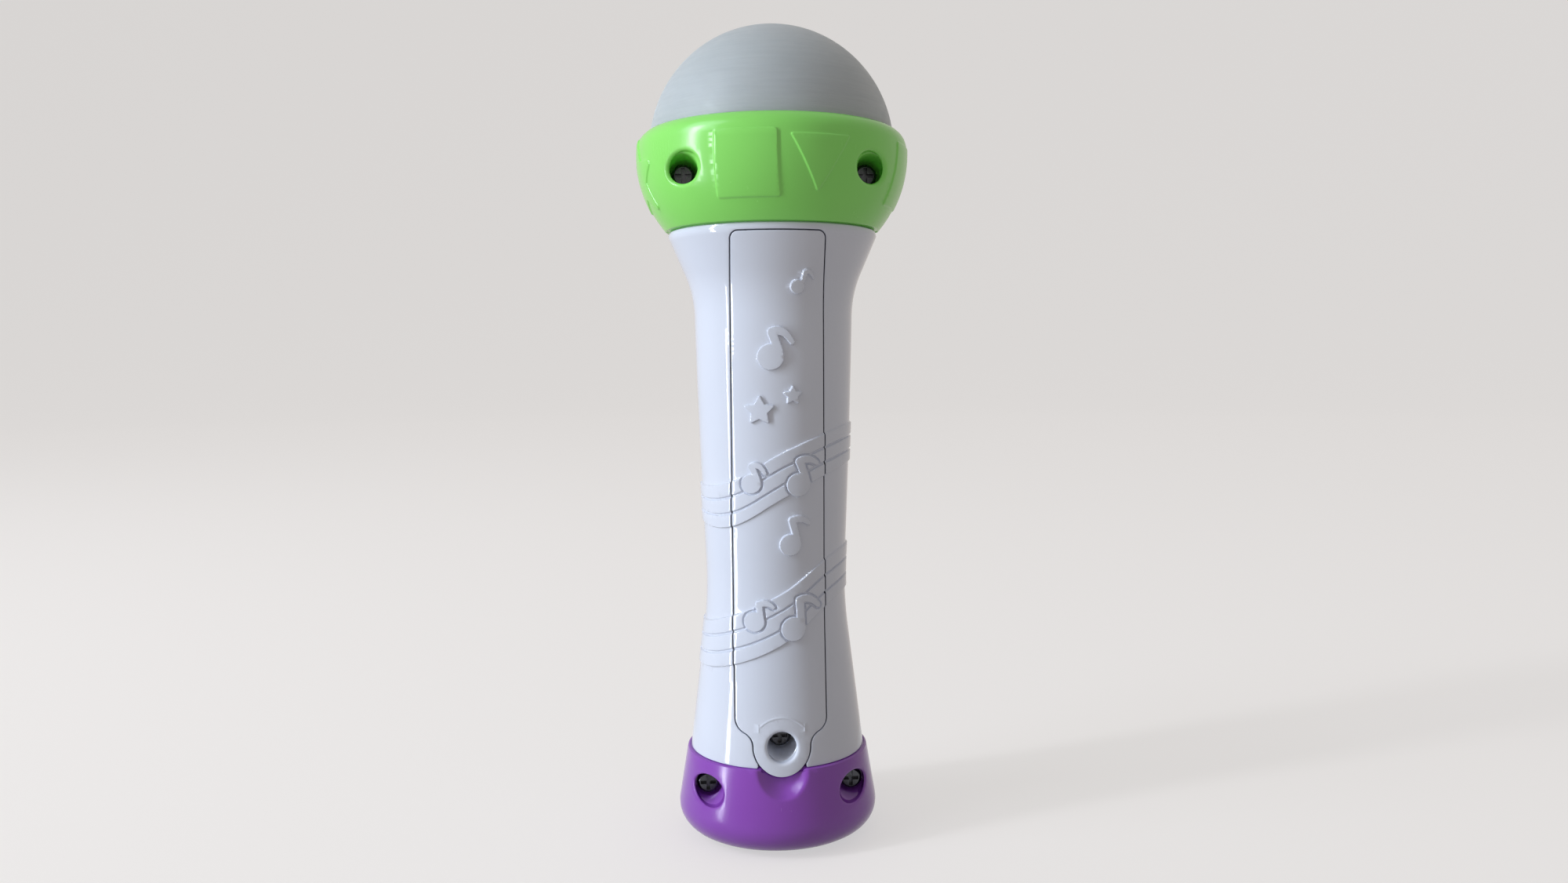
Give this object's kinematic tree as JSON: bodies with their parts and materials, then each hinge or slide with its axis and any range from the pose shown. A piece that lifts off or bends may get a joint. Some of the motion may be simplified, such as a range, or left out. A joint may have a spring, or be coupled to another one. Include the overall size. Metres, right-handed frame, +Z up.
{
  "type": "toy microphone",
  "caption": "Toy hand microphone with a frosted light-up dome, a green collar with raised shapes, a waisted white handle with a battery door and a purple foot.",
  "frame": {"origin": "centre of the flat bottom of the base", "axes": "+Z up along the handle to the dome, +Y out of the back with the battery door, -Y out of the front with the buttons"},
  "size_m": [0.0675, 0.0678, 0.2028],
  "materials": {
    "white_shell": "glossy moulded ABS",
    "green_ring": "glossy moulded ABS",
    "purple_base": "satin moulded ABS",
    "frosted_dome": "frosted translucent plastic",
    "inner_plastic": "moulded ABS",
    "button_orange": "glossy moulded ABS",
    "button_green": "glossy moulded ABS",
    "button_purple": "glossy moulded ABS",
    "circuit_board": "solder resist",
    "chip_resin": "black resin",
    "capacitor_sleeve": "printed sleeve",
    "led_lens": "clear epoxy",
    "rubber_grey": "moulded silicone rubber",
    "rubber_black": "moulded rubber",
    "capsule_can": "bright",
    "screw_steel": "zinc plated",
    "cell_can": "printed sleeve",
    "contact_steel": "nickel plated",
    "switch_case": "moulded plastic",
    "magnet_steel": "zinc plated",
    "speaker_basket": "black paint",
    "cone_paper": "coated paper",
    "wire_insulation": "PVC insulation",
    "foam": "closed-cell foam"
  },
  "bodies": {
    "housing": {"handle_back": "white_shell", "handle_front": "white_shell", "ring_back": "green_ring", "ring_front": "green_ring", "base_back": "purple_base", "base_front": "purple_base", "dome_diffuser": "frosted_dome", "light_deck": "inner_plastic", "light_board": "circuit_board", "main_board": "circuit_board", "leds": "led_lens", "microphone_boot": "rubber_black", "microphone_capsule": "capsule_can", "ring_screws": "screw_steel", "base_screws": "screw_steel", "handle_screws": "screw_steel", "board_screws": "screw_steel", "lower_cell": "cell_can", "upper_cell": "cell_can", "spring_contact": "contact_steel", "plate_contact": "contact_steel", "sound_chip": "chip_resin", "capacitor": "capacitor_sleeve", "keypad": "rubber_grey", "record_bezel": "button_purple", "slide_switch": "switch_case", "speaker_magnet": "magnet_steel", "speaker_frame": "speaker_basket", "speaker_cone": "cone_paper", "battery_wires": "wire_insulation", "speaker_wires": "wire_insulation", "light_wires": "wire_insulation"},
    "battery_door_body": {"battery_door": "white_shell", "cell_pad": "foam"},
    "door_screw_body": {"door_screw": "screw_steel"},
    "record_button_body": {"record_button": "button_orange"},
    "song_button_body": {"song_button": "button_green"},
    "effect_button_body": {"effect_button": "button_purple"},
    "mode_knob_body": {"mode_knob": "button_green"}
  },
  "joints": [
    {"name": "battery_door_hinge", "type": "hinge", "parent": "housing", "child": "battery_door_body", "pos_m": [0, 0.0253, 0.1498], "axis": [1, 0, 0], "range_deg": [0, 75]},
    {"name": "door_screw_slide", "type": "slide", "parent": "battery_door_body", "child": "door_screw_body", "axis": [0, 1, 0], "range_m": [0, 0.0074]},
    {"name": "record_press", "type": "slide", "parent": "housing", "child": "record_button_body", "axis": [0, 1, 0], "range_m": [0, 0.0018], "stiffness_N_per_m": 200, "springref_m": -0.003, "deforming": ["keypad"]},
    {"name": "song_press", "type": "slide", "parent": "housing", "child": "song_button_body", "axis": [0, 1, 0], "range_m": [0, 0.0012], "stiffness_N_per_m": 200, "springref_m": -0.003, "deforming": ["keypad"]},
    {"name": "effect_press", "type": "slide", "parent": "housing", "child": "effect_button_body", "axis": [0, 1, 0], "range_m": [0, 0.0012], "stiffness_N_per_m": 200, "springref_m": -0.003, "deforming": ["keypad"]},
    {"name": "mode_slide", "type": "slide", "parent": "housing", "child": "mode_knob_body", "axis": [0, 0, 1], "range_m": [-0.004, 0.004]}
  ]
}
